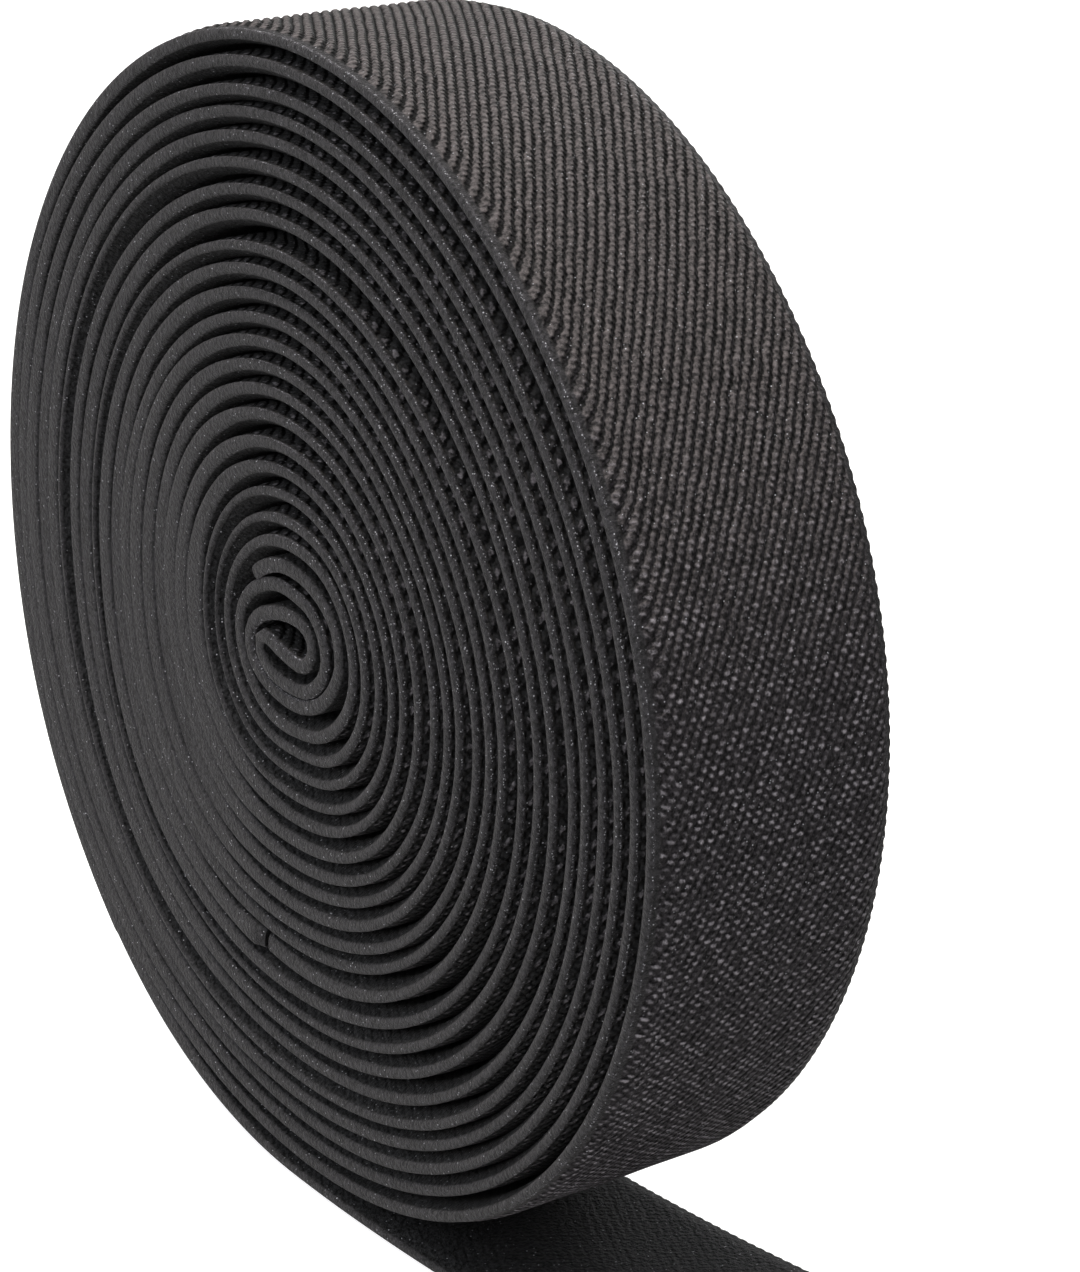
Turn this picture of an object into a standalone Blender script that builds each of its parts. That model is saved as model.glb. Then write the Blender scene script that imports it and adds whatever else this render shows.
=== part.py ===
"""A roll of black woven elastic standing on its rim, with its loose end laid on the table.

The roll's axis lies along Y and its open face looks to -Y. The loose end leaves the roll
low on the -X side, comes down on to the table and runs out under the roll towards +X.
The origin is on the table, straight below the roll's axis.
"""
import math

import bmesh
import bpy

MM = 0.001

# Driving dimensions, in millimetres.
BAND_WIDTH = 25.0
BAND_THICK = 2.0
STEP_GAP = 0.6          # between the step and the start of the loose end
AXIS_HEIGHT = 56.4      # the roll's axis above the table
LEAVE_ANGLE = 228.6     # where the loose end leaves the roll, in degrees from +X
STEP_RADIUS = 54.9      # the wrap below the one that leaves, at that angle
FOOT_CLEARANCE = 0.4    # the flat spot above the loose end
LANDING_X = -2.0        # where the loose end is first flat on the table
LANDING_RADIUS = 55.1   # the arc on which it comes down, at its outer side
BEND_LENGTH = 45.0      # the stretch over which the loose end swings towards +Y
BEND_TURN = 10.0        # how far it swings, in degrees
TAIL_REACH = 100.0      # its cut end, measured from the landing
RIM_ROUNDING = 0.5

# The outermost wrap's outer radius in eight directions, degrees from +X.
OUTER_WRAP = {
    -90: 54.2, -45: 55.9, 0: 56.4, 45: 56.2, 90: 57.2, 135: 57.5, 180: 57.5, 225: 57.6,
}

# The widest gaps between wraps, each an arc that narrows to both ends:
# from and to in degrees, radius at the start, middle and end, and greatest width.
LOOSE_GAPS = [
    {"from": -40, "to": 105, "radii": (51.8, 51.4, 52.8), "width": 1.4},
    {"from": -30, "to": 75, "radii": (49.6, 48.6, 49.0), "width": 1.2},
    {"from": 108, "to": 250, "radii": (43.2, 44.9, 43.3), "width": 1.2},
    {"from": -45, "to": 40, "radii": (42.0, 43.4, 42.4), "width": 1.2},
    {"from": -5, "to": 145, "radii": (38.3, 37.7, 40.2), "width": 2.6},
    {"from": 152, "to": 262, "radii": (37.4, 37.4, 36.9), "width": 0.9},
    {"from": -20, "to": 120, "radii": (33.8, 33.6, 34.6), "width": 1.1},
    {"from": -50, "to": 45, "radii": (28.2, 29.5, 28.6), "width": 1.0},
    {"from": 20, "to": 140, "radii": (24.4, 23.8, 26.4), "width": 0.9},
    {"from": -50, "to": 50, "radii": (18.6, 19.6, 19.2), "width": 0.9},
    {"from": 120, "to": 262, "radii": (13.8, 15.8, 14.4), "width": 0.9},
    {"from": -45, "to": 110, "radii": (10.3, 11.9, 11.4), "width": 0.9},
]

# The two eyes that the winding pins left beside the folded start of the band:
# centre across and up from the axis, length, width and tilt.
PIN_EYES = [
    {"across": -1.4, "up": 0.8, "length": 4.6, "width": 1.0, "tilt": -4},
    {"across": -2.6, "up": -2.7, "length": 5.2, "width": 1.2, "tilt": -8},
]

OUTLINE_STEP = 3.0      # degrees between the outline's points
GAP_STEP = 7.0          # degrees between a gap's points
EYE_POINTS = 8          # points along each side of an eye
LANDING_PARTS = 16      # facets on the arc down to the table
BEND_PARTS = 9          # facets on the bend
WELD_DISTANCE = 0.01    # points nearer than this are one
RIM_CORNER = 57.0       # edges sharper than this, in degrees, are rounded at the rim
SMOOTH_UNDER = 35.0     # edges flatter than this, in degrees, are shaded smooth


def clear_scene():
    for old in list(bpy.data.objects):
        bpy.data.objects.remove(old, do_unlink=True)


def make_collection(name):
    group = bpy.data.collections.new(name)
    bpy.context.scene.collection.children.link(group)
    return group


def make_material(name, colour, roughness):
    material = bpy.data.materials.new(name)
    material.use_nodes = True
    shader = material.node_tree.nodes["Principled BSDF"]
    shader.inputs["Base Color"].default_value = (*colour, 1.0)
    shader.inputs["Roughness"].default_value = roughness
    shader.inputs["Metallic"].default_value = 0.0
    return material


def polar(radius, degrees):
    angle = math.radians(degrees)
    return radius * math.cos(angle), radius * math.sin(angle)


def wrap_radius(degrees):
    """The outermost wrap's outer radius, eased between the stated directions."""
    stops = sorted(OUTER_WRAP)
    for low, high in zip(stops, stops[1:]):
        if degrees <= high:
            share = (degrees - low) / (high - low)
            ease = share * share * (3 - 2 * share)
            return OUTER_WRAP[low] + (OUTER_WRAP[high] - OUTER_WRAP[low]) * ease
    return OUTER_WRAP[stops[-1]]


def roll_outline():
    """Once round the outermost wrap, a step down its thickness, and on to the flat spot."""
    foot = AXIS_HEIGHT - BAND_THICK - FOOT_CLEARANCE
    step_angle = LEAVE_ANGLE - math.degrees(STEP_GAP / OUTER_WRAP[225])
    points = []
    for i in range(int((step_angle + 90) / OUTLINE_STEP) + 1):
        degrees = -90 + i * OUTLINE_STEP
        points.append(polar(wrap_radius(degrees), degrees))
    points.append(polar(OUTER_WRAP[225], step_angle))
    points.append(polar(STEP_RADIUS, step_angle))
    for i in range(1, int((270 - step_angle) / OUTLINE_STEP) + 1):
        share = i * OUTLINE_STEP / (270 - step_angle)
        radius = STEP_RADIUS + (OUTER_WRAP[-90] - STEP_RADIUS) * share
        points.append(polar(radius, step_angle + i * OUTLINE_STEP))
    return [(x, max(z, -foot)) for x, z in points]


def gap_outline(gap):
    """Out along a gap's far side and back along its near side."""
    start, middle, end = gap["radii"]
    count = max(6, round((gap["to"] - gap["from"]) / GAP_STEP))
    outer, inner = [], []
    for i in range(count + 1):
        share = i / count
        degrees = gap["from"] + (gap["to"] - gap["from"]) * share
        bow = 4 * share * (1 - share)
        radius = start + (end - start) * share + (middle - (start + end) / 2) * bow
        half = gap["width"] / 2 * math.sin(math.pi * share)
        outer.append(polar(radius + half, degrees))
        inner.append(polar(radius - half, degrees))
    return outer + inner[-2:0:-1]


def eye_outline(eye):
    """A pointed oval, tilted about its centre."""
    tilt = math.radians(eye["tilt"])
    points = []
    for side in (1, -1):
        for i in range(EYE_POINTS):
            share = i / EYE_POINTS
            along = eye["length"] * (0.5 - share) * side
            off = eye["width"] / 2 * math.sin(math.pi * share) * side
            x = eye["across"] + along * math.cos(tilt) - off * math.sin(tilt)
            z = eye["up"] + along * math.sin(tilt) + off * math.cos(tilt)
            points.append((x, z))
    return points


def extruded_outlines(name, outlines, width, group):
    """A flat curve with the first outline filled, the others as holes, made a welded mesh."""
    curve = bpy.data.curves.new(name + "_outline", "CURVE")
    curve.dimensions = "2D"
    curve.fill_mode = "BOTH"
    curve.extrude = width / 2 * MM
    for outline in outlines:
        spline = curve.splines.new("POLY")
        spline.points.add(len(outline) - 1)
        spline.use_cyclic_u = True
        for point, (x, y) in zip(spline.points, outline):
            point.co = (x * MM, y * MM, 0.0, 1.0)
    flat = bpy.data.objects.new(name + "_outline", curve)
    flat.location = (0.0, 0.0, AXIS_HEIGHT * MM)
    flat.rotation_euler = (math.radians(90), 0.0, 0.0)
    group.objects.link(flat)
    bpy.context.view_layer.update()
    mesh = bpy.data.meshes.new_from_object(flat.evaluated_get(bpy.context.evaluated_depsgraph_get()))
    mesh.name = name
    solid = bpy.data.objects.new(name, mesh)
    solid.matrix_world = flat.matrix_world.copy()
    group.objects.link(solid)
    bpy.data.objects.remove(flat, do_unlink=True)

    shape = bmesh.new()
    shape.from_mesh(mesh)
    bmesh.ops.remove_doubles(shape, verts=shape.verts, dist=WELD_DISTANCE * MM)
    bmesh.ops.recalc_face_normals(shape, faces=shape.faces)
    shape.to_mesh(mesh)
    shape.free()
    return solid


def round_rim(solid):
    """Round the band's edges where they show round the outermost wrap."""
    shape = bmesh.new()
    shape.from_mesh(solid.data)
    half_width = BAND_WIDTH / 2 * MM
    inside = (STEP_RADIUS - 1.0) * MM
    rim = []
    for edge in shape.edges:
        on_face = all(abs(abs(v.co.z) - half_width) < WELD_DISTANCE * MM for v in edge.verts)
        outside = all(math.hypot(v.co.x, v.co.y) > inside for v in edge.verts)
        if on_face and outside and edge.calc_face_angle(0.0) > math.radians(RIM_CORNER):
            rim.append(edge)
    bmesh.ops.bevel(
        shape, geom=rim, offset=RIM_ROUNDING * MM, segments=2, profile=0.5,
        affect="EDGES", material=-1, clamp_overlap=True,
    )
    shape.to_mesh(solid.data)
    shape.free()


def shade_round(solid):
    solid.data.shade_smooth()
    solid.data.set_sharp_from_angle(angle=math.radians(SMOOTH_UNDER))


def make_roll(group, material):
    outlines = [roll_outline()]
    outlines += [gap_outline(gap) for gap in LOOSE_GAPS]
    outlines += [eye_outline(eye) for eye in PIN_EYES]
    roll = extruded_outlines("wound_roll", outlines, BAND_WIDTH, group)
    round_rim(roll)
    roll.data.materials.append(material)
    shade_round(roll)
    return roll


def loose_end_stations():
    """Where the band's lower side runs: the middle's x, y and z, and its heading in plan."""
    leave_x = polar(OUTER_WRAP[225], LEAVE_ANGLE)[0]
    down_angle = math.asin((LANDING_X - leave_x) / LANDING_RADIUS)
    stations = []
    for i in range(LANDING_PARTS):
        angle = down_angle * (1 - i / LANDING_PARTS)
        x = LANDING_X - LANDING_RADIUS * math.sin(angle)
        z = LANDING_RADIUS * (1 - math.cos(angle))
        stations.append((x, 0.0, z, 0.0))
    x, y = LANDING_X, 0.0
    for i in range(BEND_PARTS):
        heading = math.radians(BEND_TURN) * i / BEND_PARTS
        stations.append((x, y, 0.0, heading))
        middle = math.radians(BEND_TURN) * (i + 0.5) / BEND_PARTS
        x += BEND_LENGTH / BEND_PARTS * math.cos(middle)
        y += BEND_LENGTH / BEND_PARTS * math.sin(middle)
    heading = math.radians(BEND_TURN)
    rest = TAIL_REACH - BEND_LENGTH
    for run in (0.0, rest / 2, rest):
        stations.append((x + run * math.cos(heading), y + run * math.sin(heading), 0.0, heading))
    return stations


def make_loose_end(group, material):
    """One edge across the band, drawn along the stations, then thickened upwards."""
    shape = bmesh.new()
    edge = None
    for x, y, z, heading in loose_end_stations():
        across = BAND_WIDTH / 2
        places = []
        for side in (-1, 1):
            places.append((
                (x - side * across * math.sin(heading)) * MM,
                (y + side * across * math.cos(heading)) * MM,
                z * MM,
            ))
        if edge is None:
            ends = [shape.verts.new(place) for place in places]
            edge = shape.edges.new(ends)
            continue
        drawn = bmesh.ops.extrude_edge_only(shape, edges=[edge])["geom"]
        ends = [item for item in drawn if isinstance(item, bmesh.types.BMVert)]
        edge = next(item for item in drawn if isinstance(item, bmesh.types.BMEdge))
        ends.sort(key=lambda vert: vert.co.y)
        for vert, place in zip(ends, places):
            vert.co = place
    shape.normal_update()
    for face in shape.faces:
        if face.normal.z > 0:
            face.normal_flip()
    mesh = bpy.data.meshes.new("loose_end")
    shape.to_mesh(mesh)
    shape.free()
    tail = bpy.data.objects.new("loose_end", mesh)
    group.objects.link(tail)
    wall = tail.modifiers.new("Band thickness", "SOLIDIFY")
    wall.thickness = BAND_THICK * MM
    wall.offset = -1.0
    wall.use_even_offset = True
    tail.data.materials.append(material)
    shade_round(tail)
    return tail


def main():
    clear_scene()
    group = make_collection("elastic_roll")
    wound = make_material("woven elastic", (0.012, 0.012, 0.014), 0.75)
    loose = make_material("woven elastic, loose end", (0.014, 0.014, 0.016), 0.75)
    make_roll(group, wound)
    make_loose_end(group, loose)


main()
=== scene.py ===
# Roll of black woven elastic. One band in two lengths is folded over at its start, wound up with
# the slack that a hand leaves between turns, and let off at the bottom on to the table.
import math

import bmesh
import bpy
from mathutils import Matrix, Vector, noise


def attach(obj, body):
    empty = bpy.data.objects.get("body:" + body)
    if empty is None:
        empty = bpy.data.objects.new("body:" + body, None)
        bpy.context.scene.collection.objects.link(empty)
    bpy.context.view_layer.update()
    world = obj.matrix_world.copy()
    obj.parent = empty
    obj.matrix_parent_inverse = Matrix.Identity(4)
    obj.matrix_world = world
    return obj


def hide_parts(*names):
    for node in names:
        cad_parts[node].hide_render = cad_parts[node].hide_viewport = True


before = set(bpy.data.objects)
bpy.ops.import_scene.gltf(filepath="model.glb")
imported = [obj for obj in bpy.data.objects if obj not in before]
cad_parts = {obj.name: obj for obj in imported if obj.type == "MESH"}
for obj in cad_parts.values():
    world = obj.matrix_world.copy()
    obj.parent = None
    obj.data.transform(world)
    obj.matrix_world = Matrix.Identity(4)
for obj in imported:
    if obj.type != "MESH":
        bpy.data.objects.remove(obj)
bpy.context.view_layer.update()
mm = 0.001

band = {
    "width": 25.0,
    "edge": 1.0,          # thickness of the selvedges
    "startEdge": 1.5,     # and at the folded start, where nothing has drawn them thin
    "thinnedOver": 3,     # turns over which they are drawn thin
    "body": 2.0,          # thickness of the rubber-filled body between them, where it has room
    "rim": 0.42,          # how far in from each edge the selvedge rounds off
    "rimPower": 2.6,      # superellipse power of that rounding
    "shoulder": 2.3,      # where the body reaches its full thickness
    "touching": 8.0,      # further in than this, loose turns lie against each other
    "touchingOver": 3.0,
    "nestled": 0.06,      # with this much of their nap pressed together
    "squared": 0.8,       # where turns are pressed together their rounded edges lose this share
    "flare": 0.45,        # a bent band's edges curl away from the axis by this much
    "flareOver": 2.6,
    "outermostFlat": 0.75,   # share of that curl which the outermost turn, held by nothing, loses
    "hair": 0.04,         # left between turns that touch
    "curl": 0.14,         # ribs turn square to the near edge over the last curlOver mm
    "curlOver": 2.6,
    "pick": 0.6,          # weft spacing along the band
    "repeat": 1.04,       # three warp ends across the band
    "ribHeight": 0.24,    # modelled height of the twill ribs on the outermost turn
    "ribHeightAside": 0.4,   # share of it that is left where the turn doesn't face up
    "ribsFrom": 0.75,     # how far in from the edge the ribs start
    "ribsFade": 0.3,
    "scallop": 0.07,      # the weft's loops stand out of the far edge this far, two picks apart
    "edgeParts": 4,       # facets on each rounding and each slope of the section
    "innerParts": 4,      # and across its inner face
}

# Everything on the roll is measured from its axis, in mm: x to the right, z up.
axisHeight = 56.4
leaveAngle = 228.6        # degrees from +X, where the loose end leaves the roll

# The doubled start that the winding pins leave: from the short arm's cut end, round through
# the S and out into the long arm.
foldedStart = {
    "short arm": [
        (-6.4, 5.6), (-4.9, 6.6), (-2.3, 7.5), (0.5, 7.6), (3.2, 7.0), (5.7, 5.7), (7.3, 4.0),
        (7.9, 2.0), (7.8, -0.1), (6.3, -2.6), (3.9, -4.6), (0.6, -5.7), (-2.7, -5.7),
        (-5.8, -4.9), (-7.8, -3.5), (-8.35, -1.6), (-7.8, 0.0), (-6.1, 1.5), (-3.4, 2.5),
    ],
    "S": [
        (-0.9, 2.9), (1.2, 2.8), (2.7, 2.1), (3.3, 0.9), (2.8, -0.6), (1.3, -1.5), (-0.7, -1.4),
        (-3.0, -0.9), (-4.6, -0.4), (-5.8, -0.5), (-6.4, -1.5), (-5.7, -2.8),
    ],
    "long arm": [(-4.3, -3.7), (-2.2, -4.1)],
}

# The winding's driving sizes, in mm from the axis, in eight directions as the open face is seen.
directions = ("bottom", "lowerRight", "right", "upperRight", "top", "upperLeft", "left", "lowerLeft")
firstTurn = (4.1, 4.5, 5.4, 5.4, 5.3, 7.0, 9.9, 9.5)
shortArmRoom = (2.8, 3.1, 3.5, 3.7, 3.3, 2.4, 0.7, 0.9)   # slack after it, where the short arm lies
outerWrap = (54.2, 55.9, 56.4, 56.2, 57.2, 57.5, 57.5, 57.6)   # the outermost turn's outer face

winding = {
    "turns": 21,          # full turns from the first to the outermost
    "tight": 1.5,         # from turn to turn where there is no slack
    "uneven": 0.9,        # how far the slack strays from its even share
    "spread": 1.6,        # a loose place fades out over this many directions to either side
    "tailSlack": 2.1,     # under the outermost turn, where the loose end leaves it
}
# Where the winding is loosest: after which turn, toward where, and by how many even shares more.
loosePlaces = [
    (3, "left", 0.8), (5, "right", 0.6), (9, "right", 0.5), (13, "upperRight", 2.4),
    (15, "upperLeft", 1.1), (15, "right", 0.7), (18, "right", 0.5), (19, "upperRight", 1.3),
]

joint = {
    "turn": 11.967,       # where the first length ends and the second starts, in turns from the bottom
    "gap": 0.7,
    "cutEdge": 2.1,       # thickness of the cut end, which nothing has drawn thin
    "recess": 0.5,        # the second length starts this far back from the face
    "sunk": 0.5,          # and this much nearer the axis
    "recover": 0.11,      # over this part of a turn
    "crowded": 0.07,      # and is pressed this far to either side of the joint
}

# Left of the axis the turns press together and their selvedges meet, except after some turns.
pressed = {
    "toward": (0.25, 0.0, 0.0, 0.0, 0.0, 0.5, 1.0, 1.0),   # how hard, in the eight directions
    "fromTurn": 2,
    "openAfter": (0, 1, 2, 12, 15),
    "openReach": 0.3,     # turns to either side of the left over which such a gap stands open
    "openFade": 0.15,
    "openThins": 0.6,     # the selvedges either side of it are squeezed by this share
}

# The hand lets the band wander along the axis, in mm: quickly by a little, and slowly.
wander = {"quick": 0.32, "quickOver": 38, "slow": 0.22, "slowOver": 260}

looseEnd = {
    "landing": -2.0,      # x where it is first flat on the table
    "landingRadius": 54.35,
    "reach": 101.6,       # from the landing to the cut end
    "bend": 45.0,         # it swings away from the face over this length
    "swing": 10.0,        # degrees
    "bareOver": 0.04,     # turns over which the band comes out from under the next one
    "freeAfter": 12.0,    # past the leaving point it regains its flat section
    "freeOver": 24.0,
    "straightens": 12.0,  # past the landing it no longer wanders
}

# Cells along and across the band, in mm and in number, and where the ribbed turn starts and is
# split, in degrees.
plainTurns = {"step": 1.2, "across": 4}
ribbedTurn = {"step": 0.3, "across": 104, "from": -108, "split": 98}


def slackShares(toward):
    # how the slack in one direction is shared out among the turns after the first
    angle = 2 * math.pi * toward / len(directions)
    shares = []
    for turn in range(1, winding["turns"]):
        around = Vector((1.7 * turn, 0.9 * math.cos(angle), 0.9 * math.sin(angle)))
        share = 1 + winding["uneven"] * noise.noise(around)
        for looseTurn, way, more in loosePlaces:
            apart = abs(toward - directions.index(way))
            apart = min(apart, len(directions) - apart)
            if looseTurn == turn:
                share += more * max(1 - apart / winding["spread"], 0.0)
        shares.append(share)
    return [share / sum(shares) for share in shares]


def turnRadii():
    # out from the first turn, so that the last one comes to the outermost turn's place
    columns = []
    for toward, first in enumerate(firstTurn):
        radius = first + winding["tight"] + shortArmRoom[toward]
        column = [first, radius]
        last = outerWrap[toward] - band["body"] / 2
        slack = last - radius - winding["tight"] * (winding["turns"] - 1)
        for share in slackShares(toward):
            radius += winding["tight"] + slack * share
            column.append(radius)
        columns.append(column)
    radii = [column[turn] for turn in range(winding["turns"] + 1) for column in columns]
    radii.append(radii[-len(directions)] + winding["tight"] + winding["tailSlack"])
    return radii


radiusKnots = turnRadii()


def radiusAt(turns):
    # Hermite curve through the eight radii of each turn; turns are counted from the bottom
    place = turns * len(directions)
    i = min(max(int(place), 0), len(radiusKnots) - 2)
    s = place - i
    before = radiusKnots[max(i - 1, 0)]
    here, there = radiusKnots[i], radiusKnots[i + 1]
    after = radiusKnots[min(i + 2, len(radiusKnots) - 1)]
    leave, arrive = (there - before) / 2, (after - here) / 2
    return (
        (2 * s**3 - 3 * s**2 + 1) * here + (s**3 - 2 * s**2 + s) * leave
        + (3 * s**2 - 2 * s**3) * there + (s**3 - s**2) * arrive
    )


def spiralPoint(turns):
    angle = math.radians(360 * turns - 90)
    return Vector((radiusAt(turns) * math.cos(angle), radiusAt(turns) * math.sin(angle)))


def smoothThrough(points, parts=10):
    # Catmull-Rom curve through the points
    ends = [points[0] * 2 - points[1]] + points + [points[-1] * 2 - points[-2]]
    curve = []
    for a, b, c, d in zip(ends, ends[1:], ends[2:], ends[3:]):
        for k in range(parts):
            s = k / parts
            curve.append(0.5 * (
                2 * b + (c - a) * s + (2 * a - 5 * b + 4 * c - d) * s**2
                + (3 * b - a - 3 * c + d) * s**3
            ))
    return curve + [points[-1]]


stationsPerTurn = 180


def spiralRun(start, end):
    count = max(2, int((end - start) * stationsPerTurn))
    return [spiralPoint(start + (end - start) * k / count) for k in range(count + 1)]


def tableRun():
    # from the leaving point round an arc on to the table, then flat; heights from the axis
    radius = looseEnd["landingRadius"]
    floor = band["body"] / 2 - axisHeight
    leave = spiralPoint(lastTurns)
    steep = math.asin((looseEnd["landing"] - leave.x) / radius)
    arc = [
        Vector((looseEnd["landing"] - radius * math.sin(a), floor + radius * (1 - math.cos(a))))
        for a in (steep * (1 - k / 60) for k in range(1, 61))
    ]
    flat = [
        Vector((looseEnd["landing"] + looseEnd["reach"] * k / 100, floor)) for k in range(1, 101)
    ]
    return arc + flat


lastTurns = winding["turns"] + (leaveAngle + 90) / 360


def measured(points):
    # distance along a run of points
    total, out = 0.0, [0.0]
    for a, b in zip(points, points[1:]):
        total += (b - a).length
        out.append(total)
    return out


class Run:
    # a path in the plane of the face, read by distance along it
    def __init__(self, points, start=0.0):
        self.points = points
        self.at = [start + d for d in measured(points)]
        self.start, self.end = self.at[0], self.at[-1]
        self.i = 0

    def point(self, distance):
        distance = min(max(distance, self.start), self.end)
        while self.i < len(self.at) - 2 and self.at[self.i + 1] < distance:
            self.i += 1
        while self.i > 0 and self.at[self.i] > distance:
            self.i -= 1
        low, high = self.at[self.i], self.at[self.i + 1]
        share = (distance - low) / max(high - low, 1e-9)
        return self.points[self.i].lerp(self.points[self.i + 1], share)

    def heading(self, distance, reach=0.35):
        return (self.point(distance + reach) - self.point(distance - reach)).normalized()


def sideways(distance):
    quick = wander["quick"] * noise.noise(Vector((distance / wander["quickOver"], 3.1, 0.4)))
    slow = wander["slow"] * noise.noise(Vector((distance / wander["slowOver"], 7.7, 1.9)))
    return quick + slow


def afterJoint(turns):
    # 1 at the start of the second length, fading as the band settles
    past = (turns - joint["turn"]) / joint["recover"]
    return (1 - past) ** 1.5 if 0 <= past < 1 else 0.0


def pressedAt(turns):
    # how far this turn is pressed on to the one inside it, and how far it stands open instead
    place = turns % 1 * len(directions)
    here = int(place)
    share = 0.5 - 0.5 * math.cos(math.pi * (place - here))
    toward = pressed["toward"]
    value = toward[here] * (1 - share) + toward[(here + 1) % len(directions)] * share
    value = max(value, 1 - abs(turns - joint["turn"]) / joint["crowded"])
    # the turn inside this one is the one the gap follows
    left = directions.index("left") / len(directions)
    away = min(abs(turns - 1 - (index + left)) for index in pressed["openAfter"])
    shut = min(max((away - pressed["openReach"]) / pressed["openFade"], 0.0), 1.0)
    return (value * shut, value * (1 - shut)) if turns > pressed["fromTurn"] else (0.0, 0.0)


def section(outerParts):
    # once round the band's section: (in from the near edge, side, v). side is 1 on the outer
    # face, -1 on the inner and between them over the rounded edges; v is 0 to 25 mm over the
    # outer face and goes on to 50 back over the inner.
    width, rim, shoulder, parts = band["width"], band["rim"], band["shoulder"], band["edgeParts"]
    power = 2 / band["rimPower"]
    quarter = [math.pi / 2 * k / parts for k in range(1, parts + 1)]
    edge = [(rim * (1 - abs(math.cos(t)) ** power), math.sin(t) ** power) for t in quarter]
    slope = [(rim + (shoulder - rim) * k / parts, 1.0) for k in range(1, parts + 1)]
    near = edge + slope
    far = [(width - a, n) for a, n in reversed(near)]
    flat = width - 2 * shoulder
    outer, inner = (
        near + [(shoulder + flat * k / count, 1.0) for k in range(1, count)] + far
        for count in (outerParts, band["innerParts"])
    )
    loop = [(0.0, 0.0, 0.0)] + [(a, n, a) for a, n in outer] + [(width, 0.0, width)]
    loop += [(a, -n, 2 * width - a) for a, n in reversed(inner)] + [(0.0, 0.0, 2 * width)]
    return loop


def edgeHalf(turns):
    # half the selvedge's thickness, drawn thin within the first turns and away from the joint
    thin = min(max(turns / band["thinnedOver"], 0.0), 1.0)
    wound = band["startEdge"] + (band["edge"] - band["startEdge"]) * thin
    return (wound + (joint["cutEdge"] - wound) * afterJoint(turns)) / 2


def bodyHalf(a, room, edge):
    # from the thin selvedge up to the body, or to as much of it as the next turn leaves room for
    inside = min(a, band["width"] - a)
    share = min(max((inside - band["rim"]) / (band["shoulder"] - band["rim"]), 0.0), 1.0)
    share = math.sin(share * math.pi / 2)
    full = max(min(band["body"] / 2, room), edge)
    deep = min(max((inside - band["touching"]) / band["touchingOver"], 0.0), 1.0)
    return edge + (full - edge) * share + max(room + band["nestled"] - full, 0.0) * deep


def innerHalf(a, room, edge, pitch, pressing):
    # where the turns are pressed together the inner face fills up to the turn below it
    loose = bodyHalf(a, room, edge)
    below = bodyHalf(a, pitch / 2 - band["hair"], edge)
    return loose + max(pitch - below - band["hair"] - loose, 0.0) * pressing


def flareAt(a):
    # nothing at the very edge, so that the turns' places hold on the face that shows
    inside = min(a, band["width"] - a)
    share = max(1 - inside / band["flareOver"], 0.0)
    return band["flare"] * (share * share - 1)


def ribs(u, v):
    # the twill's ribs, one for each three warp ends, broad with narrow grooves between
    inside = min(v, band["width"] - v)
    bent = band["curl"] * max(band["curlOver"] - v, 0.0) ** 2
    rib = u / (3 * band["pick"]) - v / band["repeat"] - bent
    groove = 0.5 - 0.5 * math.cos(2 * math.pi * rib)
    fade = min(max((inside - band["ribsFrom"]) / band["ribsFade"], 0.0), 1.0)
    return -band["ribHeight"] * fade * groove**3


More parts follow.
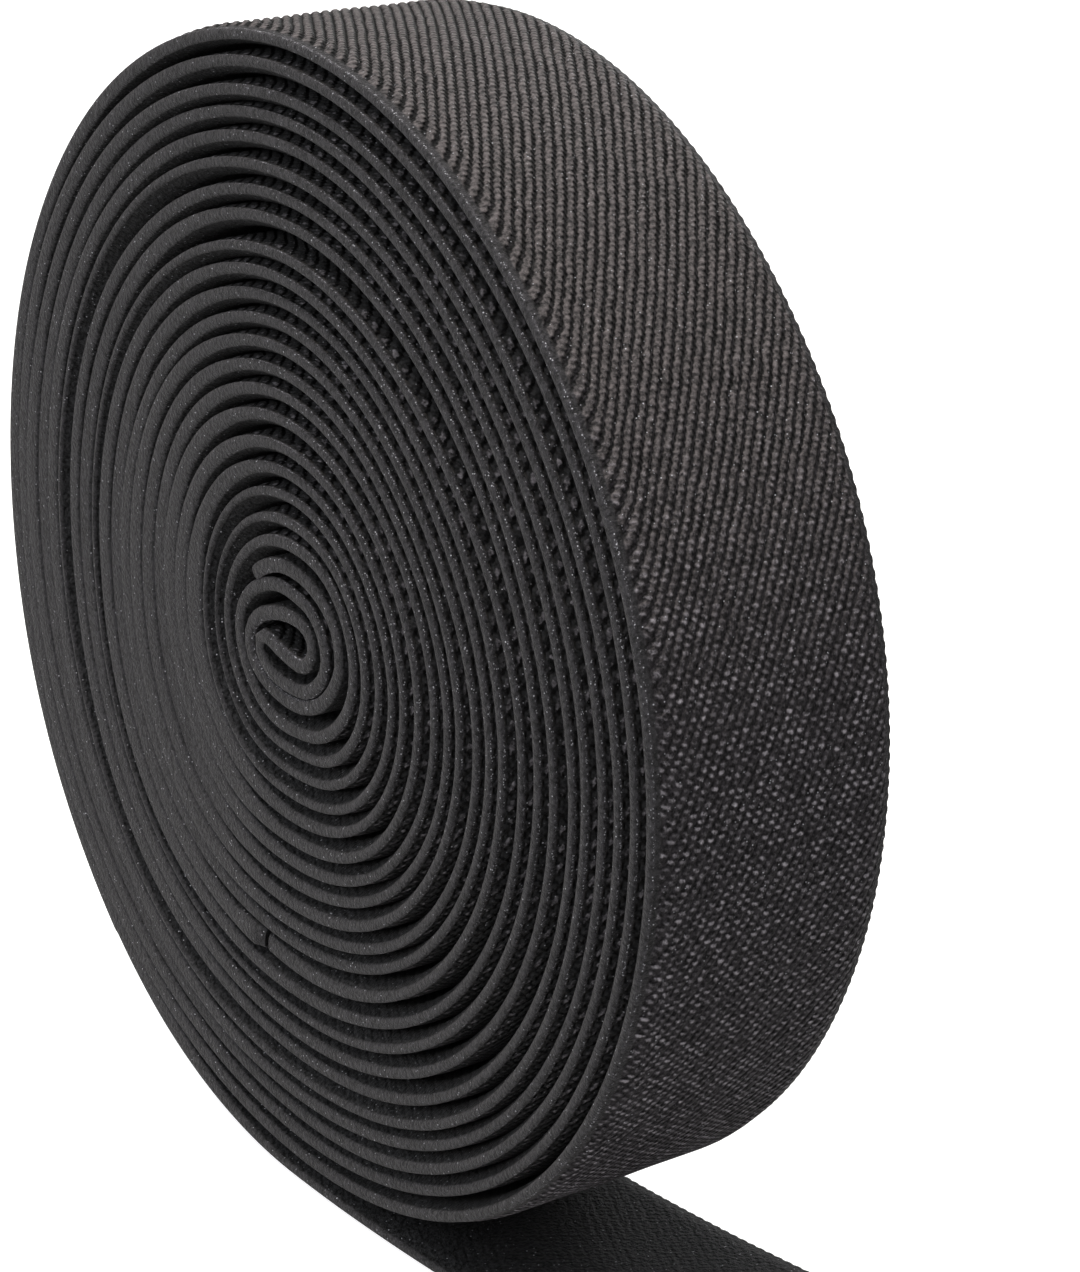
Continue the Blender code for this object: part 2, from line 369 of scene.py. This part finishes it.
def bandPiece(name, run, start, end, cells, placeOf):
    # a flat grid, one row of cells along the band, is closed round the section and laid on the run
    ribbed = cells is ribbedTurn
    count = max(4, round((end - start) / cells["step"]))
    profile = section(cells["across"])
    shape = bmesh.new()
    uvLayer = shape.loops.layers.uv.new("bandMillimetres")
    bmesh.ops.create_grid(
        shape, x_segments=count, y_segments=len(profile) - 1, size=1.0,
    )
    stations = []
    for i in range(count + 1):
        distance = start + (end - start) * i / count
        stations.append((distance, *placeOf(run, distance)))
    spots = {}
    for vert in shape.verts:
        i = round((vert.co.x + 1) / 2 * count)
        j = round((vert.co.y + 1) / 2 * (len(profile) - 1))
        distance, middle, outward, acrossWay, fit = stations[i]
        a, side, v = profile[j]
        if side > 0:
            half = bodyHalf(a, fit["outside"], fit["outerEdge"])
        else:
            half = innerHalf(a, fit["inside"], fit["innerEdge"], fit["pitch"], fit["pressed"])
        rounded = (1 - abs(side)) * (1 - band["squared"] * fit["pressed"])
        square = 1 - rounded if side else 0.0
        out = math.copysign(square, side) * half + fit["flare"] * flareAt(a)
        if ribbed and side > 0:
            aside = band["ribHeightAside"]
            out += ribs(distance, v) * (aside + (1 - aside) * max(outward.z, 0.0))
        spots[vert] = (distance, v)
        over = a - band["width"] / 2
        if ribbed and a > band["width"] - band["rim"]:
            over += band["scallop"] * math.cos(math.pi * distance / band["pick"])
        vert.co = (middle + acrossWay * over + outward * out) * mm
    # the row of cells that closes the section ends at the full 50 mm, not back at nothing
    last = 2 * band["width"]
    for face in shape.faces:
        values = [spots[loop.vert] for loop in face.loops]
        turnOver = max(v for u, v in values) > last * 0.75
        for loop, (u, v) in zip(face.loops, values):
            loop[uvLayer].uv = (u, last if turnOver and v < 1e-6 else v)
    bmesh.ops.remove_doubles(shape, verts=shape.verts, dist=0.01 * mm)
    openEdges = [e for e in shape.edges if e.is_boundary]
    caps = bmesh.ops.holes_fill(shape, edges=openEdges, sides=0)["faces"]
    for cap in caps:
        for loop in cap.loops:
            loop[uvLayer].uv = spots.get(loop.vert, (0.0, 0.0))
    bmesh.ops.recalc_face_normals(shape, faces=shape.faces)
    mesh = bpy.data.meshes.new(name)
    shape.to_mesh(mesh)
    shape.free()
    mesh.shade_smooth()
    mesh.set_sharp_from_angle(angle=math.radians(60))
    piece = bpy.data.objects.new(name, mesh)
    bpy.context.scene.collection.objects.link(piece)
    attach(piece, "root")
    print(name, len(mesh.polygons), "faces, band", round(start), "to", round(end), "mm")
    return piece


def hexColour(code):
    # sRGB hex to linear
    parts = [int(code[i:i + 2], 16) / 255 for i in (1, 3, 5)]
    return [c / 12.92 if c <= 0.04045 else ((c + 0.055) / 1.055) ** 2.4 for c in parts] + [1.0]


def addNode(tree, kind, inputs=None, **settings):
    # one node: its input sockets take links or values, its settings go by name
    node = tree.nodes.new("ShaderNode" + kind)
    for key, value in settings.items():
        setattr(node, key, value)
    for socket, source in (inputs or {}).items():
        if isinstance(source, bpy.types.NodeSocket):
            tree.links.new(source, node.inputs[socket])
        else:
            node.inputs[socket].default_value = source
    return node.outputs


wovenElastic = {
    "litCrest": "#3e3a3a",       # polyester yarn, dyed black, painted lit where it stands up to the light
    "groove": "#090909",      # painted shade between the ribs
    "ground": "#211f21",      # painted shade where the light only grazes, between the knots
    "shade": "#1b1b1c",       # and painted shade between the turns
    "knot": "#7b777c",        # painted highlight on the knots that still catch it
    "back": "#1a1a1b",        # the plainer inner face, its dark tone partly painted shade
    "selvedge": "#1c1b1d",
    "glint": "#a4a4aa",       # painted highlight: glints of single bright filaments
    "sheenTint": "#8d8a88",
    "roughness": 0.6,
    "glintRoughness": 0.3,
    "specular": 0.2,
    "sheen": 0.2,
    "sheenRoughness": 0.4,
    "unlit": 0.35,            # share of the gloss that is left where little light reaches
    "selvedgeMm": 0.4,        # from the edge to the pit beside the selvedge
    "outerSelvedgeMm": 0.68,  # and on the outermost turn
    "pitMm": 0.27,            # from there to the full ribs
    "crestMm": 0.24,          # where the outer edge of the selvedge turns over
    "ribEndMm": 1.0,          # where the ribs' ends show between the turns
    "reliefMm": 0.5,
    "strayMm": 0.42,          # how far a yarn strays from its place
    "strayOverMm": 1.923,
    "fibreMm": 0.42,          # real filaments are ten times finer, drawn coarse enough to show
    "glintMm": 0.17,
}


def makeWovenElastic(name, ribShare, outermost):
    # Narrow loom-woven elastic: black polyester twill over covered rubber. The yarn is matt with
    # a few bright filaments, painted as glints; painted shade and highlights lie over the weave.
    # The ribs stop at a pit beside the smooth selvedge.
    look = wovenElastic
    material = bpy.data.materials.new(name)
    material.use_nodes = True
    tree = material.node_tree
    shader = tree.nodes["Principled BSDF"]
    turn = 2 * math.pi

    where = addNode(tree, "UVMap", uv_map="bandMillimetres")[0]
    onPiece = addNode(tree, "TexCoord")["Object"]
    stray = addNode(tree, "TexNoise", {
        "Vector": onPiece, "Scale": 1.0 / (look["strayOverMm"] * mm), "Detail": 1.0,
    })["Color"]
    strayed = addNode(tree, "VectorMath", {
        0: stray, 1: (look["strayMm"],) * 3, 2: where,
    }, operation="MULTIPLY_ADD")[0]
    counter = addNode(tree, "VectorMath", {
        0: strayed, 1: (2 * turn / (3 * band["pick"]), turn / band["repeat"], 0.0),
    }, operation="DOT_PRODUCT")["Value"]
    ribPlace = addNode(tree, "VectorMath", {
        0: strayed, 1: (turn / (3 * band["pick"]), -turn / band["repeat"], 0.0),
    }, operation="DOT_PRODUCT")["Value"]
    weave = addNode(tree, "Math", {0: counter}, operation="SINE")[0]
    ribPlace = addNode(tree, "Math", {0: weave, 1: 0.3, 2: ribPlace}, operation="MULTIPLY_ADD")[0]
    apart = addNode(tree, "SeparateXYZ", {0: where})
    bent = addNode(tree, "Math", {0: band["curlOver"], 1: apart[1]}, operation="SUBTRACT")[0]
    bent = addNode(tree, "Math", {0: bent, 1: 0.0}, operation="MAXIMUM")[0]
    bent = addNode(tree, "Math", {0: bent, 1: 2.0}, operation="POWER")[0]
    ribPlace = addNode(tree, "Math", {
        0: bent, 1: -turn * band["curl"], 2: ribPlace,
    }, operation="MULTIPLY_ADD")[0]
    rib = addNode(tree, "Math", {0: ribPlace}, operation="COSINE")[0]
    groove = addNode(tree, "Math", {0: rib, 1: -0.5, 2: 0.5}, operation="MULTIPLY_ADD")[0]
    groove = addNode(tree, "Math", {0: groove, 1: 2.4}, operation="POWER")[0]
    knot = addNode(tree, "Math", {0: counter}, operation="COSINE")[0]
    pick = addNode(tree, "Math", {0: counter, 1: ribPlace}, operation="ADD")[0]
    pick = addNode(tree, "Math", {0: pick}, operation="COSINE")[0]
    # each knot, where a rib and a counter row cross, has a brightness of its own
    crossing = addNode(tree, "CombineXYZ", {0: counter, 1: ribPlace})[0]
    crossing = addNode(tree, "VectorMath", {
        0: crossing, 1: (1 / turn,) * 3, 2: (0.5,) * 3,
    }, operation="MULTIPLY_ADD")[0]
    crossing = addNode(tree, "VectorMath", {0: crossing}, operation="FLOOR")[0]
    uneven = addNode(tree, "TexWhiteNoise", {"Vector": crossing}, noise_dimensions="3D")["Value"]

    # distance in from the nearer edge; the selvedge shows narrower on the inner face
    back = addNode(tree, "MapRange", {
        "Value": apart[1], "From Min": band["width"] - 0.1, "From Max": band["width"],
    })[0]
    inside = addNode(tree, "Math", {0: apart[1], 1: band["width"] / 2}, operation="PINGPONG")[0]
    selvedge = look["outerSelvedgeMm"] if outermost else look["selvedgeMm"]
    reach = addNode(tree, "Math", {
        0: back, 1: selvedge - 0.13, 2: inside,
    }, operation="MULTIPLY_ADD")[0]
    body = addNode(tree, "MapRange", {
        "Value": reach, "From Min": selvedge, "From Max": selvedge + look["pitMm"],
    }, interpolation_type="SMOOTHSTEP")[0]

    fibre = addNode(tree, "TexNoise", {
        "Vector": onPiece, "Scale": 1.0 / (look["fibreMm"] * mm), "Detail": 3.0, "Roughness": 0.65,
    })[0]
    cells = addNode(tree, "TexVoronoi", {
        "Vector": onPiece, "Scale": 1.0 / (look["glintMm"] * mm),
    }, feature="F1")
    lucky = addNode(tree, "SeparateColor", {0: cells["Color"]})[0]
    # painted highlights: filaments catch the light oftenest where the outer edge of the selvedge turns
    # over
    offCrest = addNode(tree, "Math", {0: apart[1], 1: look["crestMm"]}, operation="SUBTRACT")[0]
    offCrest = addNode(tree, "Math", {0: offCrest}, operation="ABSOLUTE")[0]
    rarity = addNode(tree, "MapRange", {
        "Value": offCrest, "From Min": 0.04, "From Max": 0.14, "To Min": 0.42, "To Max": 0.975,
    })[0]
    spark = addNode(tree, "MapRange", {"Value": lucky, "From Min": rarity, "From Max": 1.0})[0]
    near = addNode(tree, "MapRange", {
        "Value": cells["Distance"], "From Min": 0.5, "From Max": 0.25,
    })[0]
    spark = addNode(tree, "Math", {0: spark, 1: near}, operation="MULTIPLY")[0]

    # painted shade in the grooves: the groove colour where the ribs dip, the lit crest colour on them
    low = addNode(tree, "Math", {0: knot, 1: -0.08, 2: groove}, operation="MULTIPLY_ADD")[0]
    crestShare = addNode(tree, "MapRange", {
        "Value": low, "From Min": 0.6, "From Max": 0.0,
    }, interpolation_type="SMOOTHSTEP")[0]
    ribbed = addNode(tree, "Mix", {
        "Factor": crestShare, "A": hexColour(look["groove"]), "B": hexColour(look["litCrest"]),
    }, data_type="RGBA")["Result"]
    peak = addNode(tree, "Math", {0: pick, 1: 0.6, 2: knot}, operation="MULTIPLY_ADD")[0]
    peak = addNode(tree, "Math", {0: rib, 1: 1.2, 2: peak}, operation="MULTIPLY_ADD")[0]
    peak = addNode(tree, "Math", {0: fibre, 1: 3.0, 2: peak}, operation="MULTIPLY_ADD")[0]
    peak = addNode(tree, "MapRange", {
        "Value": peak, "From Min": 1.0, "From Max": 4.2,
    }, interpolation_type="SMOOTHSTEP")[0]
    bright = addNode(tree, "MapRange", {
        "Value": uneven, "From Min": 0.2, "From Max": 1.0, "To Min": 0.18, "To Max": 0.8,
    })[0]
    peak = addNode(tree, "Math", {0: peak, 1: bright}, operation="MULTIPLY")[0]
    if outermost:
        # painted light: facing up, the ribs show whole with painted shade in their grooves; where the
        # light only grazes, dark ground with painted highlights on the knots
        facing = addNode(tree, "SeparateXYZ", {0: addNode(tree, "NewGeometry")["True Normal"]})[2]
        grazed = addNode(tree, "MapRange", {
            "Value": facing, "From Min": 0.75, "From Max": 0.15,
        }, interpolation_type="SMOOTHSTEP")[0]
        grazingLitKnots = addNode(tree, "Mix", {
            "Factor": peak, "A": hexColour(look["ground"]), "B": hexColour(look["knot"]),
        }, data_type="RGBA")["Result"]
        cloth = addNode(tree, "Mix", {
            "Factor": grazed, "A": ribbed, "B": grazingLitKnots,
        }, data_type="RGBA")["Result"]
        lit = addNode(tree, "Mix", {
            "Factor": grazed, "A": crestShare, "B": peak,
        }, data_type="FLOAT")["Result"]
    else:
        # painted shade between the turns, with painted highlights where only the ends of the ribs
        # catch any light, and not on all of them
        end = addNode(tree, "Math", {0: inside, 1: look["ribEndMm"]}, operation="SUBTRACT")[0]
        end = addNode(tree, "Math", {0: end}, operation="ABSOLUTE")[0]
        end = addNode(tree, "MapRange", {"Value": end, "From Min": 0.35, "From Max": 0.15})[0]
        lit = addNode(tree, "MapRange", {"Value": groove, "From Min": 0.15, "From Max": 0.02})[0]
        lit = addNode(tree, "Math", {0: lit, 1: end}, operation="MULTIPLY")[0]
        patchy = addNode(tree, "MapRange", {
            "Value": uneven, "From Min": 0.3, "From Max": 1.0, "To Max": 0.5,
        })[0]
        lit = addNode(tree, "Math", {0: lit, 1: patchy}, operation="MULTIPLY")[0]
        cloth = addNode(tree, "Mix", {
            "Factor": lit, "A": hexColour(look["shade"]), "B": hexColour(look["knot"]),
        }, data_type="RGBA")["Result"]
    # painted shade in part: the inner face is given the darker back colour
    cloth = addNode(tree, "Mix", {
        "Factor": back, "A": cloth, "B": hexColour(look["back"]),
    }, data_type="RGBA")["Result"]
    edged = addNode(tree, "Mix", {
        "Factor": body, "A": hexColour(look["selvedge"]), "B": cloth,
    }, data_type="RGBA")["Result"]
    fuzz = addNode(tree, "MapRange", {
        "Value": fibre, "From Min": 0.38, "From Max": 0.62, "To Min": 0.3, "To Max": 1.85,
    })[0]
    # painted highlight: the fibre grain is brightened where the outer edge of the selvedge turns over
    # to the light
    litCrest = addNode(tree, "MapRange", {
        "Value": offCrest, "From Min": 0.05, "From Max": 0.2, "To Min": 1.7, "To Max": 1.0,
    })[0]
    fuzz = addNode(tree, "Math", {0: fuzz, 1: litCrest}, operation="MULTIPLY")[0]
    fuzz = addNode(tree, "CombineColor", {0: fuzz, 1: fuzz, 2: fuzz})[0]
    grainAndCrestLight = addNode(tree, "Mix", {
        "Factor": 1.0, "A": edged, "B": fuzz,
    }, data_type="RGBA", blend_type="MULTIPLY")["Result"]
    # painted highlights: the glint colour on the few cells picked out
    glintPainted = addNode(tree, "Mix", {
        "Factor": spark, "A": grainAndCrestLight, "B": hexColour(look["glint"]),
    }, data_type="RGBA")["Result"]
    tree.links.new(glintPainted, shader.inputs["Base Color"])
    rough = addNode(tree, "MapRange", {
        "Value": spark, "To Min": look["roughness"], "To Max": look["glintRoughness"],
    })[0]
    tree.links.new(rough, shader.inputs["Roughness"])

    # little light reaches the grooves
    lit = addNode(tree, "Mix", {"Factor": back, "A": lit, "B": 0.0}, data_type="FLOAT")["Result"]
    lit = addNode(tree, "MapRange", {"Value": lit, "To Min": look["unlit"]})[0]
    lit = addNode(tree, "Mix", {"Factor": body, "A": 1.0, "B": lit}, data_type="FLOAT")["Result"]
    specular = addNode(tree, "Math", {0: lit, 1: look["specular"]}, operation="MULTIPLY")[0]
    tree.links.new(specular, shader.inputs["Specular IOR Level"])
    sheen = addNode(tree, "Math", {0: lit, 1: look["sheen"]}, operation="MULTIPLY")[0]
    tree.links.new(sheen, shader.inputs["Sheen Weight"])

    # relief: grooves and knots on the faces, filaments over all
    relief = addNode(tree, "Math", {0: knot, 1: 0.13}, operation="MULTIPLY")[0]
    relief = addNode(tree, "Math", {
        0: groove, 1: -ribShare, 2: relief,
    }, operation="MULTIPLY_ADD")[0]
    ribbedHere = addNode(tree, "Math", {0: back, 1: -0.8, 2: body}, operation="MULTIPLY_ADD")[0]
    ribbedHere = addNode(tree, "Math", {0: ribbedHere, 1: 0.0}, operation="MAXIMUM")[0]
    relief = addNode(tree, "Math", {0: relief, 1: ribbedHere}, operation="MULTIPLY")[0]
    relief = addNode(tree, "Math", {0: fibre, 1: 0.8, 2: relief}, operation="MULTIPLY_ADD")[0]
    bump = addNode(tree, "Bump", {
        "Strength": 1.0, "Distance": look["reliefMm"] * mm, "Height": relief,
    })[0]
    tree.links.new(bump, shader.inputs["Normal"])

    shader.inputs["Sheen Roughness"].default_value = look["sheenRoughness"]
    shader.inputs["Sheen Tint"].default_value = hexColour(look["sheenTint"])
    return material


axis = Vector((0.0, 0.0, axisHeight))


def woundPlace(run, distance):
    at, way = run.point(distance), run.heading(distance)
    outward = Vector((way.y, 0.0, -way.x))
    turns = turnsAt(distance)
    settling = 0.0 if turns is None else afterJoint(turns)
    middle = axis + Vector((at.x, sideways(distance) + joint["recess"] * settling, at.y))
    middle -= outward * joint["sunk"] * settling
    fit = fitAt(turns, max(0.0, distance - leaveAt))
    return middle, outward, Vector((0.0, 1.0, 0.0)), fit


def fitAt(turns, pastLeaving):
    # how the section fits between its neighbours: half the distance to each, less a hair
    full = band["body"] / 2
    if turns is None or turns < 1:
        edge = edgeHalf(turns or 0.0)
        flare = 0.0 if turns is None else min(turns * 2, 1.0)
        return {
            "outside": edge, "inside": edge, "outerEdge": edge, "innerEdge": edge,
            "flare": flare, "pitch": band["body"], "pressed": 0.0,
        }
    here = radiusAt(turns)
    pitch = here - radiusAt(turns - 1)
    outside = (radiusAt(min(turns + 1, lastTurns)) - here) / 2 - band["hair"]
    inside = pitch / 2 - band["hair"]
    bare = min(max((turns - lastTurns + 1) / looseEnd["bareOver"], 0.0), 1.0)
    inside += band["outermostFlat"] * band["flare"] * bare
    loose = min(max((pastLeaving - looseEnd["freeAfter"]) / looseEnd["freeOver"], 0.0), 1.0)
    inside -= joint["sunk"] * afterJoint(turns)
    pitch -= joint["sunk"] * afterJoint(turns)
    pressing, openInside = pressedAt(turns)
    openOutside = pressedAt(turns + 1)[1] * (1 - bare)
    edge = edgeHalf(turns)
    return {
        "outside": outside + (full - outside) * bare, "inside": inside + (full - inside) * loose,
        "outerEdge": edge * (1 - pressed["openThins"] * openOutside),
        "innerEdge": edge * (1 - pressed["openThins"] * openInside),
        "flare": (1 - band["outermostFlat"] * bare) * (1 - loose), "pitch": pitch,
        "pressed": pressing * (1 - loose) * (1 - afterJoint(turns)),
    }


def joinedPoints():
    start = foldedStart["short arm"] + foldedStart["S"] + foldedStart["long arm"]
    curve = smoothThrough([Vector(p) for p in start] + [spiralPoint(0.0), spiralPoint(0.06)])
    while (curve[-1] - spiralPoint(0.0)).length > 0.02:
        curve.pop()
    return curve


print("winding")
startPoints = joinedPoints()
spiral = spiralRun(0.0, lastTurns)
along = Run(startPoints + spiral[1:] + tableRun())
startLength = measured(startPoints)[-1]
spiralStations = measured(spiral)
spiralCount = len(spiralStations) - 1


def turnsAt(distance):
    # how many turns the long arm has made at a distance along the band
    inside = distance - startLength
    if inside < 0:
        return None
    low, high = 0, spiralCount
    while high - low > 1:
        middle = (low + high) // 2
        if spiralStations[middle] > inside:
            high = middle
        else:
            low = middle
    share = (inside - spiralStations[low]) / (spiralStations[high] - spiralStations[low])
    return (low + min(share, 1.0)) / spiralCount * lastTurns


def distanceAt(turns):
    place = turns / lastTurns * spiralCount
    low = min(int(place), spiralCount - 1)
    share = place - low
    return startLength + spiralStations[low] * (1 - share) + spiralStations[low + 1] * share


leaveAt = distanceAt(lastTurns)
flatFit = {
    "outside": band["body"] / 2, "inside": band["body"] / 2,
    "outerEdge": band["edge"] / 2, "innerEdge": band["edge"] / 2,
    "flare": 0.0, "pitch": band["body"], "pressed": 0.0,
}


def tailPlace(run, distance):
    at, way = run.point(distance), run.heading(distance)
    past = at.x - looseEnd["landing"]
    if distance <= leaveAt or past <= 0:
        return woundPlace(run, distance)
    swing = math.radians(looseEnd["swing"])
    bend = looseEnd["bend"]
    turned = swing * min(past / bend, 1.0)
    if past < bend:
        x = bend / swing * math.sin(turned)
        y = bend / swing * (1 - math.cos(turned))
    else:
        x = bend / swing * math.sin(swing) + (past - bend) * math.cos(swing)
        y = bend / swing * (1 - math.cos(swing)) + (past - bend) * math.sin(swing)
    y += sideways(distance) * max(0.0, 1 - past / looseEnd["straightens"])
    middle = Vector((looseEnd["landing"] + x, y, band["body"] / 2))
    down = Vector((0.0, 0.0, -1.0))
    acrossWay = Vector((-math.sin(turned), math.cos(turned), 0.0))
    return middle, down, acrossWay, flatFit


clothWound = makeWovenElastic("wovenElasticWound", 1.0, False)
clothOuter = makeWovenElastic("wovenElasticRibbed", 0.5, True)

jointAt = distanceAt(joint["turn"])
outerFrom = distanceAt(winding["turns"] + (ribbedTurn["from"] + 90) / 360)
outerSplit = distanceAt(winding["turns"] + (ribbedTurn["split"] + 90) / 360)
inner = bandPiece("inner_winding", along, along.start, jointAt, plainTurns, woundPlace)
outer = bandPiece("outer_winding", along, jointAt + joint["gap"], outerFrom, plainTurns, woundPlace)
turnRight = bandPiece("outer_turn_right", along, outerFrom, outerSplit, ribbedTurn, woundPlace)
turnLeft = bandPiece("outer_turn_left", along, outerSplit, leaveAt, ribbedTurn, woundPlace)
tail = bandPiece("loose_end_band", along, leaveAt, along.end, ribbedTurn, tailPlace)

for piece in (inner, outer):
    piece.data.materials.append(clothWound)
for piece in (turnRight, turnLeft, tail):
    piece.data.materials.append(clothOuter)

lengths = {
    inner: jointAt - along.start, outer: outerFrom - jointAt - joint["gap"],
    turnRight: outerSplit - outerFrom, turnLeft: leaveAt - outerSplit,
}
for piece, length in lengths.items():
    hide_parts("wound_roll")
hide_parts("loose_end")
print("whole band", round(along.end - along.start), "mm")

studio = {
    "floor": "#b8b8b8",
    "floorHalf": 3.0,          # metres from its middle to each side
    "floorRoughness": 0.9,
    "floorSpecular": 0.1,
    "blownOut": 0.8,           # what the exposure for black cloth adds to the white floor
    "white": "#ffffff",
    "world": "#f6f8fa",
    "worldStrength": 0.9,      # overhead
    "horizonStrength": 0.06,
    "horizonUpTo": 0.1,        # height of the upward direction below which it is that dark
}
# Discs of light, in metres and watts.
softBoxes = {
    "keyAbove": {
        "at": (-0.05, -0.1, 0.8), "aim": (0.0, 0.0, 0.06), "size": 0.55, "power": 9.8,
        "colour": "#fffaf5",
    },
    "faceFill": {
        "at": (-0.3, -0.75, 0.35), "aim": (0.0, 0.0, 0.05), "size": 0.5, "power": 3.9,
        "colour": "#f6faff",
    },
    "cameraFill": {
        "at": (0.45, -0.5, 0.22), "aim": (0.0, 0.0, 0.05), "size": 0.4, "power": 1.6,
        "colour": "#ffffff",
    },
    "backFill": {
        "at": (-0.4, 0.8, 0.3), "aim": (0.0, 0.0, 0.05), "size": 0.5, "power": 3.5,
        "colour": "#ffffff",
    },
}
view = {
    "at": (256.5, -164.0, 165.4),   # mm
    "down": 19.94,             # degrees below level
    "turned": 54.99,           # degrees from looking along the roll's axis
    "sensorHeight": 36.0,
    "lens": 96.87,
}


def makeFloor():
    shape = bmesh.new()
    bmesh.ops.create_grid(shape, x_segments=1, y_segments=1, size=studio["floorHalf"])
    mesh = bpy.data.meshes.new("floor")
    shape.to_mesh(mesh)
    shape.free()
    floor = bpy.data.objects.new("floor", mesh)
    bpy.context.scene.collection.objects.link(floor)
    material = bpy.data.materials.new("whitePaper")   # a plain matt paper floor, over-exposed
    material.use_nodes = True
    tree = material.node_tree
    shader = tree.nodes["Principled BSDF"]
    shader.inputs["Base Color"].default_value = hexColour(studio["floor"])
    shader.inputs["Roughness"].default_value = studio["floorRoughness"]
    shader.inputs["Specular IOR Level"].default_value = studio["floorSpecular"]
    shader.inputs["Emission Color"].default_value = hexColour(studio["white"])
    seen = addNode(tree, "LightPath")["Is Camera Ray"]
    glow = addNode(tree, "Math", {0: seen, 1: studio["blownOut"]}, operation="MULTIPLY")[0]
    tree.links.new(glow, shader.inputs["Emission Strength"])
    mesh.materials.append(material)


def makeWorld():
    # light from overhead only, dark round the horizon; plain white where the camera sees it
    world = bpy.data.worlds.new("softStudio")
    bpy.context.scene.world = world
    world.use_nodes = True
    tree = world.node_tree
    sky = tree.nodes["Background"]
    sky.inputs["Color"].default_value = hexColour(studio["world"])
    upward = addNode(tree, "SeparateXYZ", {0: addNode(tree, "TexCoord")["Generated"]})[2]
    strength = addNode(tree, "MapRange", {
        "Value": upward, "From Min": studio["horizonUpTo"], "From Max": 1.0,
        "To Min": studio["horizonStrength"], "To Max": studio["worldStrength"],
    })[0]
    tree.links.new(strength, sky.inputs["Strength"])
    seen = addNode(tree, "Background", {"Color": hexColour(studio["white"]), "Strength": 1.0})[0]
    ray = addNode(tree, "LightPath")["Is Camera Ray"]
    mixed = addNode(tree, "MixShader", {0: ray, 1: sky.outputs[0], 2: seen})[0]
    tree.links.new(mixed, tree.nodes["World Output"].inputs["Surface"])


def softBox(name, box):
    light = bpy.data.lights.new(name, "AREA")
    light.shape = "DISK"
    light.size = box["size"]
    light.energy = box["power"]
    light.color = hexColour(box["colour"])[:3]
    lamp = bpy.data.objects.new(name, light)
    lamp.location = box["at"]
    toward = Vector(box["aim"]) - Vector(box["at"])
    lamp.rotation_euler = toward.to_track_quat("-Z", "Y").to_euler()
    bpy.context.scene.collection.objects.link(lamp)


def makeCamera():
    lens = bpy.data.cameras.new("camera")
    lens.sensor_fit = "VERTICAL"
    lens.sensor_height = view["sensorHeight"]
    lens.lens = view["lens"]
    lens.clip_start = 0.01
    camera = bpy.data.objects.new("camera", lens)
    camera.location = Vector(view["at"]) * mm
    camera.rotation_euler = (math.radians(90 - view["down"]), 0.0, math.radians(view["turned"]))
    bpy.context.scene.collection.objects.link(camera)
    bpy.context.scene.camera = camera


print("studio")
makeFloor()
makeWorld()
for name, box in softBoxes.items():
    softBox(name, box)
makeCamera()
bpy.context.scene.view_settings.view_transform = "Standard"
